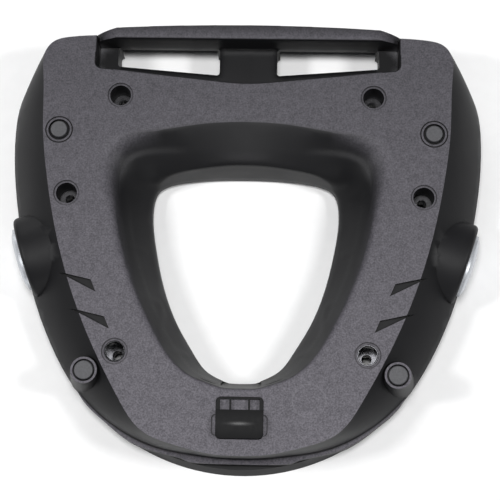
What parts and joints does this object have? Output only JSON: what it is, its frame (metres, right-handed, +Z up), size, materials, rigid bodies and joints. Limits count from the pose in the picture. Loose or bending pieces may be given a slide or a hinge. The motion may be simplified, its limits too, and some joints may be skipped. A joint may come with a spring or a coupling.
{
  "type": "top case mounting plate",
  "caption": "Hollow moulded plate that holds a motorbike top case: grained top face, dished opening, front hook windows, screw holes, rubber pads, rear catch and side badges.",
  "frame": {"origin": "middle of the overall box in plan, on the plane of the rim that the plate lies on", "axes": "+Z up toward the case, +Y toward the bar and the front of the bike, +X to the right seen from above with +Y away"},
  "size_m": [0.3176, 0.3008, 0.0475],
  "materials": {
    "black_plastic": "grained top face, smooth sides",
    "pad_rubber": "smooth",
    "bush_steel": "bright",
    "catch_plastic": "satin",
    "plain_steel": "zinc plated",
    "silver_plastic": "silver"
  },
  "bodies": {
    "root": {"plate_moulding": "black_plastic", "front_left_pad": "pad_rubber", "front_right_pad": "pad_rubber", "rear_left_pad": "pad_rubber", "rear_right_pad": "pad_rubber", "rear_left_bush": "bush_steel", "rear_right_bush": "bush_steel", "catch_block": "catch_plastic", "catch_plate": "plain_steel", "catch_screw_left": "plain_steel", "catch_screw_right": "plain_steel", "left_side_badge": "silver_plastic", "right_side_badge": "silver_plastic"}
  },
  "joints": []
}
